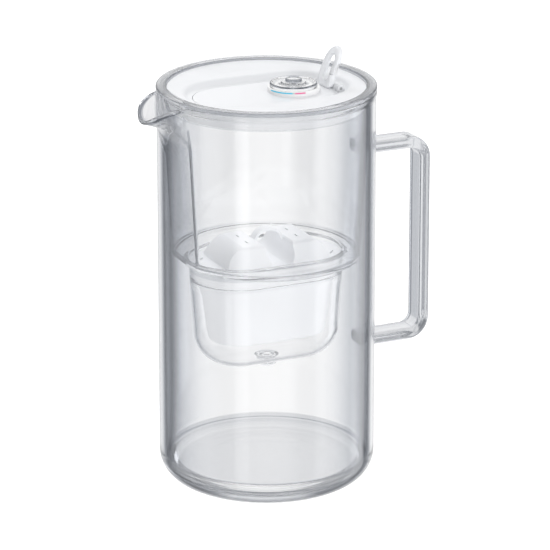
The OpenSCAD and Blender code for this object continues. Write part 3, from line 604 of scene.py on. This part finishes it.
def hopper_painted_shade(finish, spot, tilt, share):
    """Painted shade: the thick flange greyed, darkest at its inner edge, a dark line along each edge of
    the flat and one that runs round the collar."""
    x, y, z = spot
    out = (x * x + y * y) ** 0.5
    bent = tilt.within((0.12, 0.4), (0.88, 0.98))
    inner = 1 - out.between(65.1, 65.6)
    outer = out.between(70.3, 70.7) * tilt.between(0.4, 0.6)
    gap = out.within((66.2, 67.4), (68, 69.4))
    flange = z.between(264.4, 264.8) * (0.02 + 0.12 * bent + 0.60 * inner + 0.22 * gap + 0.40 * outer)
    turn = y.maths("ARCTAN2", x * -1.0).maths("ABSOLUTE") * (180 / pi)
    corner = turn.near(19.3 - z.between(236, 256) * 1.8, 0.25, 0.6)
    corner = corner * z.within((156, 159), (249, 251)) * (1 - tilt.between(0.5, 0.7))
    collar = z.near(255.6, 0.15, 0.5)
    return share, (1 - flange) * (1 - corner * 0.85) * (1 - collar * 0.25)


hopper_plastic = clear("hopper_plastic", 1.49, ((0, 0.99), (0.3, 0.97), (0.6, 0.86), (1, 0.72)), 0.002,
                       hopper_painted_shade)
# The columns stand closer together across the flat side
tray_turns = [*steps(205, 515, 155), *steps(155, 205, 100)]
hopper = piece("hopper_tray", *loops([turned(tray_section(a), a) for a in tray_turns]),
               hopper_plastic, "hopper", "hopper_clear", sharp=50)
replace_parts(hopper, "hopper", "cartridge_well", "well_outlet")
dress("hopper_vent", hopper_plastic)


# ------------------------------------------------------------------ cartridge
# A white cup and a white cap with two humps and a finger grip between them. The inside holds black
# media between two woven screens, and a soft ring seals its rim.
CUP_R, CUP_LOW, CUP_WALL, CUP_ROUND, CUP_SLOPE = 25.8, 98.5, 1.5, 3.5, 0.122
RIM_R, RIM_TOP, RIM_WALL, SEAL_Z, SEAL_H, GROOVE_D = 31.2, 151, 2, 146.6, 2.4, 1


def moulded(name, colour, rough, glow=0.0):
    """Opaque moulded plastic with a very fine spark eroded grain and slight flow marks. glow, where
    given, is painted light: the piece glows faintly though it is no lamp.
    """
    finish = Finish(name)
    fine = finish.node("TexNoise", None, Vector=finish.spot(), Scale=900.0, Detail=2.0)
    flow = finish.node("TexNoise", None, Vector=finish.spot(), Scale=14.0, Detail=4.0, Distortion=0.6)
    darker = tuple(c * 0.95 for c in colour[:3]) + (1,)
    return finish.lit(finish.node(
        "BsdfPrincipled", None, Base_Color=finish.tint(flow.between(0.35, 0.75), colour, darker),
        Roughness=rough + 0.08 * fine, Emission_Color=colour, Emission_Strength=glow,
        Normal=finish.node("Bump", None, Strength=0.06, Distance=0.1 * MM, Height=fine)))


def cup_bowl(inset):
    """The cup's wall from the middle of its floor up to the seat, as radius and height."""
    low, round_r, top_r = CUP_LOW + inset, CUP_ROUND - inset, CUP_R - inset
    foot = top_r - (SEAT_Z - low) * CUP_SLOPE - round_r
    arc = [(foot + round_r * sin(k), low + round_r * (1 - cos(k))) for k in steps(0, 1.45, 7)]
    wall = [(top_r - (SEAT_Z - z) * CUP_SLOPE, z) for z in (106, 114, 122, 130, 136)]
    return [(0, low), (foot, low)] + arc + wall


def oval_piece(name, line, finish, slot):
    """A closed form with the well's outline, from a line that starts and ends in the middle."""
    columns = []
    for degrees in range(0, 360, 3):
        a = radians(degrees)
        columns.append(turned([(oval(r, a) if r else 0, z) for r, z in line], degrees))
    return piece(name, *rings(columns), finish, "cartridge", slot, sharp=40)


# The cartridge's faint glow is painted light that brightens it
cartridge_white = moulded("cartridge_white", (0.88, 0.89, 0.91, 1), 0.30, glow=0.05)
groove_r, seal_top = RIM_R - GROOVE_D, SEAL_Z + SEAL_H
rim_in, seat_top = RIM_R - RIM_WALL, SEAT_Z + CUP_WALL
outer = cup_bowl(0) + [(CUP_R, SEAT_Z), (RIM_R - 0.4, SEAT_Z), (RIM_R, SEAT_Z + 0.4), (RIM_R, SEAL_Z),
                       (groove_r, SEAL_Z), (groove_r, seal_top), (RIM_R, seal_top), (RIM_R, RIM_TOP - 0.3),
                       (RIM_R - 0.3, RIM_TOP), (rim_in, RIM_TOP), (rim_in, seat_top)]
inner = cup_bowl(CUP_WALL) + [(CUP_R - CUP_WALL, seat_top)]
cup = oval_piece("cartridge_cup_shell", outer + inner[::-1], cartridge_white, "cartridge_white")
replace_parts(cup, "cartridge_cup")
dress("cartridge_cap", cartridge_white)
dress("cartridge_seal", moulded("seal_rubber", (0.75, 0.77, 0.80, 1), 0.5))


def woven(name, colour, pitch):
    """A woven screen: two crossed sets of threads in relief."""
    finish = Finish(name)
    x, y, _ = finish.parts(finish.spot())
    warp, weft = [(v * (pi / (pitch * MM))).maths("SINE").maths("ABSOLUTE") for v in (x, y)]
    relief = warp.maths("MAXIMUM", weft)
    holes = tuple(c * 0.35 for c in colour[:3]) + (1,)
    return finish.lit(finish.node(
        "BsdfPrincipled", None, Base_Color=finish.tint(relief.between(0.5, 0.85), holes, colour),
        Roughness=0.45 + 0.2 * relief,
        Normal=finish.node("Bump", None, Strength=0.6, Distance=0.2 * MM, Height=relief)))


SCREEN_T, THREAD_PITCH = 0.8, 0.8
screen_cloth = woven("screen_cloth", (0.80, 0.81, 0.82, 1), THREAD_PITCH)
dress("upper_screen", screen_cloth)
screen_low, screen_r = CUP_LOW + CUP_WALL, cup_bowl(CUP_WALL)[1][0]
screen_top = screen_low + SCREEN_T
screen = oval_piece("lower_screen_cloth", [(0, screen_low), (screen_r, screen_low), (screen_r, screen_top),
                                           (0, screen_top)], screen_cloth, "mesh")
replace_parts(screen, "lower_screen")

GRAIN, BED_GAP = 1400.0, 0.1
granules = Finish("media_granules")
cells = granules.node("TexVoronoi", None, Vector=granules.spot(), Scale=GRAIN)
shade = granules.node("TexNoise", None, Vector=granules.spot(), Scale=GRAIN / 2)
media_black = granules.lit(granules.node(
    "BsdfPrincipled", None, Base_Color=granules.tint(shade.between(0.4, 0.7), grey(0.02), grey(0.16)),
    Roughness=0.6 + 0.3 * cells,
    Normal=granules.node("Bump", None, Strength=0.8, Distance=0.4 * MM, Height=1 - cells)))
bed_top = seat_top - BED_GAP
bed = [(r - BED_GAP, z) for r, z in cup_bowl(CUP_WALL)[2:] if z > screen_top + 0.2]
bed = [(0, screen_top), (bed[0][0] - 0.4, screen_top)] + bed
bed += [(CUP_R - CUP_WALL - BED_GAP, bed_top), (0, bed_top)]
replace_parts(oval_piece("filter_media_bed", bed, media_black, "media"), "filter_media")


# ------------------------------------------------------------------ lid shell
# The lid is one white moulding: a dished top with a trough for filling, and a skirt that drops into
# the tray. Two ears beside the trough carry the flap's pin.
dress("lid_shell", moulded("lid_white", (0.78, 0.79, 0.81, 1), 0.26))


# ------------------------------------------------------------------ hinge pin
# A short steel pin joins the flap to the two ears. It is cut from drawn wire, so its fine streaks run
# along it.
drawn = Finish("pin_steel")
along = drawn.node("Mapping", None, drawn.spot(), Scale=(4000, 60, 4000))
streak = drawn.node("TexNoise", None, Vector=along, Scale=1.0, Detail=3.0)
dress("hinge_pin", drawn.lit(drawn.node(
    "BsdfPrincipled", None, Base_Color=drawn.tint(streak, grey(0.50), grey(0.66)), Metallic=1.0,
    Roughness=0.22 + 0.2 * streak)))


# ------------------------------------------------------------------ fill flap
# The floor of the trough is a white moulded flap that turns on the pin at its handle end. It swings
# up when its loop is pressed towards the handle.
dress("fill_flap", moulded("flap_white", (0.79, 0.80, 0.82, 1), 0.26))


# ------------------------------------------------------------------ thumb loop
# A soft ring of milky plastic, moulded round a slot and pegged into the flap. It leans to the handle,
# and more so above its knee.
LOOP_X, LOOP_FOOT_Z, LOOP_H = 42, 261.5, 25.6
LOOP_R, FOOT_R, SLOT_R, SLOT_LOW = 9.25, 8.75, 4.15, 8.15
FOOT_T, THINNING = 4.8, 1.6
KNEE_Z, KNEE_ROUND, LOW_LEAN, HIGH_LEAN = 10, 5, 0.2126, 0.4663
FOOT_POWER, SECTION_POWER, ROUND_POINTS = 5, 0.55, 20
LOOP_TIP = LOOP_H - LOOP_R


def loop_lean(z):
    """How far the ring has leant over at height z, and its thickness there."""
    lean = LOW_LEAN * min(z, KNEE_Z) + HIGH_LEAN * max(0, z - KNEE_Z)
    ease = max(0, 1 - abs(z - KNEE_Z) / KNEE_ROUND)
    return lean + 0.32 * ease * ease, FOOT_T - THINNING * min(1, z / LOOP_H)


def loop_outline(a):
    """Inner and outer point of the ring at a turn a round it, across and up."""
    c, s = cos(a), sin(a)
    if s >= 0:
        return (SLOT_R * c, LOOP_TIP + SLOT_R * s), (LOOP_R * c, LOOP_TIP + LOOP_R * s)
    foot_h = SLOT_LOW + 0.02
    reach = ((abs(c) / FOOT_R) ** FOOT_POWER + (abs(s) / foot_h) ** FOOT_POWER) ** (-1 / FOOT_POWER)
    return (SLOT_R * c, SLOT_LOW + SLOT_R * s), (reach * c, SLOT_LOW + reach * s)


def loop_section(inner, outer):
    """The ring's section, a rectangle with well rounded corners between its inner and outer point."""
    section = []
    for k in range(ROUND_POINTS):
        a = 2 * pi * k / ROUND_POINTS
        c, s = [abs(v) ** SECTION_POWER * (1 if v > 0 else -1) for v in (cos(a), sin(a))]
        y, z = [i + (o - i) * (0.5 + 0.5 * c) for i, o in zip(inner, outer)]
        lean, thick = loop_lean(z)
        section.append((LOOP_X + lean + s * thick / 2, y, LOOP_FOOT_Z + z))
    return section


half_turn = [pi * i / 40 for i in range(41)]
left_side = [((-SLOT_R, z), (-FOOT_R - (LOOP_R - FOOT_R) * (z - SLOT_LOW) / (LOOP_TIP - SLOT_LOW), z))
             for z in (14.6, 12.6, 10.6, 9.3)]
spots = [loop_outline(a) for a in half_turn] + left_side + [loop_outline(pi + a) for a in half_turn]
spots += [((-i[0], i[1]), (-o[0], o[1])) for i, o in reversed(left_side)]

milky = Finish("loop_milky")
cloudy = milky.node("TexNoise", None, Vector=milky.spot(), Scale=120.0, Detail=3.0)
# Painted shade: the ring darkens where it turns away from the eye, drawing its outline, and its skin glows
# faintly with painted light
turned_off = milky.node("LayerWeight", None, 0.5, out="Facing").between(0.35, 1.0)
pale_painted_outline = milky.tint(turned_off, grey(0.95, 1.03), grey(0.62, 1.06))
skin = milky.node("BsdfPrincipled", None, Base_Color=pale_painted_outline, Roughness=0.16 + 0.1 * cloudy, IOR=1.5,
                  Emission_Color=pale_painted_outline, Emission_Strength=0.08)
core = milky.node("BsdfPrincipled", None, Base_Color=grey(0.98, 1.01), Roughness=0.25 + 0.1 * cloudy,
                  IOR=1.3, Transmission_Weight=1.0)
loop_plastic = milky.lit(milky.node("MixShader", None, 0.28, skin, core))
loop = piece("thumb_loop_ring", *loops([loop_section(*pair) for pair in spots]), loop_plastic,
             "flap", "loop_translucent")
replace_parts(loop, "thumb_loop")


# ------------------------------------------------------------------ reminder dial
# A white ring with a printed colour scale carries a clear knob. A clip under the flap holds the
# knob's axle in its groove.
SCALE_X, SCALE_R, SCALE_LOW, SCALE_TOP = 19.3, 16.4, 263.3, 264.15
WHITE, CYAN, SOFT_GREY, PINK = grey(0.9), (0.10, 0.60, 0.82, 1), grey(0.62), (0.85, 0.16, 0.36, 1)
# The bands printed on the ring's edge, by share of a turn
BANDS = ((0, WHITE), (0.515, WHITE), (0.519, CYAN), (0.673, CYAN), (0.677, SOFT_GREY), (0.688, SOFT_GREY),
         (0.692, PINK), (0.753, PINK), (0.757, WHITE), (1, WHITE))
KNOB_R, KNOB_LOW, KNOB_TOP, BUTTON_R, BUTTON_TOP = 15.5, 264, 267.1, 5.4, 269.5
HUB_R, HOLLOW_R, HOLLOW_H, STEP_H = 6.6, 13.5, 1.8, 0.5
AXLE_R, AXLE_LOW, CLIP_LOW, CLIP_T, GROOVE_R = 3, 257.7, 258.3, 1, 2.5
POINTER_TURN, POINTER_CUT = 245, 1.2
# The radii of the edges that get painted dark lines, and how dark each is
KNOB_EDGES = ((15.0, 0.88), (7.9, 0.6), (4.9, 0.88))

printed = Finish("scale_printed")
x, y, z = [v / MM for v in printed.parts(printed.spot())]
off_axle = ((x - SCALE_X) ** 2 + y ** 2) ** 0.5
edge = off_axle.between(SCALE_R - 0.05, SCALE_R + 0.05)
edge = edge * z.within((SCALE_LOW - 0.05, SCALE_LOW + 0.05), (SCALE_TOP - 0.05, SCALE_TOP + 0.05))
turn = (y.maths("ARCTAN2", x - SCALE_X) * (0.5 / pi) + 1).maths("FRACT")
fine = printed.node("TexNoise", None, Vector=printed.spot(), Scale=900.0)
dress("dial_scale", printed.lit(printed.node(
    "BsdfPrincipled", None, Roughness=0.28 + 0.08 * fine,
    Base_Color=printed.tint(edge, WHITE, printed.node("ValToRGB", {"stops": BANDS}, turn)))))


def knob_painted_shade(finish, spot, tilt, share):
    """Painted shade: the edges of the disc, of its groove and of the button get painted dark lines,
    seen from above.
    """
    x, y, z = spot
    off, dim = ((x - SCALE_X) ** 2 + y ** 2) ** 0.5, 1
    for r, depth in KNOB_EDGES:
        dim = dim * (1 - off.near(r, 0.4, 0.8) * depth)
    top = z.between(265.9, 266.1)
    return share, dim * top + (1 - top)


# From the axle's end round the hollow underside, the rim and the button to the top's middle
clip_top, hollow_z = CLIP_LOW + CLIP_T, KNOB_LOW + HOLLOW_H
groove_z, button_z = KNOB_TOP - STEP_H, BUTTON_TOP - STEP_H
knob_line = [(0, AXLE_LOW), (AXLE_R - 0.3, AXLE_LOW), (AXLE_R, AXLE_LOW + 0.3), (AXLE_R, CLIP_LOW),
             (GROOVE_R, CLIP_LOW), (GROOVE_R, clip_top), (AXLE_R, clip_top), (AXLE_R, KNOB_LOW),
             (HUB_R, KNOB_LOW), (HUB_R, hollow_z), (HOLLOW_R, hollow_z), (HOLLOW_R, KNOB_LOW)]
knob_line += filleted([(HOLLOW_R, KNOB_LOW, 0), (KNOB_R, KNOB_LOW, 0), (KNOB_R, KNOB_TOP, 0.9),
                       (14.2, KNOB_TOP, 0), (13.6, groove_z, 0), (8.2, groove_z, 0),
                       (7.6, KNOB_TOP + 0.2, 0.3), (BUTTON_R, KNOB_TOP + 0.3, 0),
                       (BUTTON_R, BUTTON_TOP, 0.8), (4.2, BUTTON_TOP, 0), (3.6, button_z, 0),
                       (0, button_z, 0)])[1:]


def knob_column(degrees):
    """The knob's line at a turn round the axle, with the small flat that points at the scale."""
    off, flat_r = cos(radians(degrees - POINTER_TURN)), KNOB_R - POINTER_CUT
    line = [(min(r, flat_r / off) if off > 0.5 and r > HOLLOW_R else r, z) for r, z in knob_line]
    return [(SCALE_X + x, y, z) for x, y, z in turned(line, degrees)]


knob_clear = clear("knob_clear", 1.32, ((0, 0.97), (0.3, 0.93), (0.5, 0.85), (0.7, 0.5), (1, 0.3)), 0.002,
                   knob_painted_shade)
knob = piece("dial_knob_disc", *rings([knob_column(3 * i) for i in range(120)]), knob_clear, "dial",
             "knob_clear", sharp=50)
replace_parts(knob, "dial_knob")
dress("dial_clip", moulded("clip_white", (0.86, 0.87, 0.88, 1), 0.35))
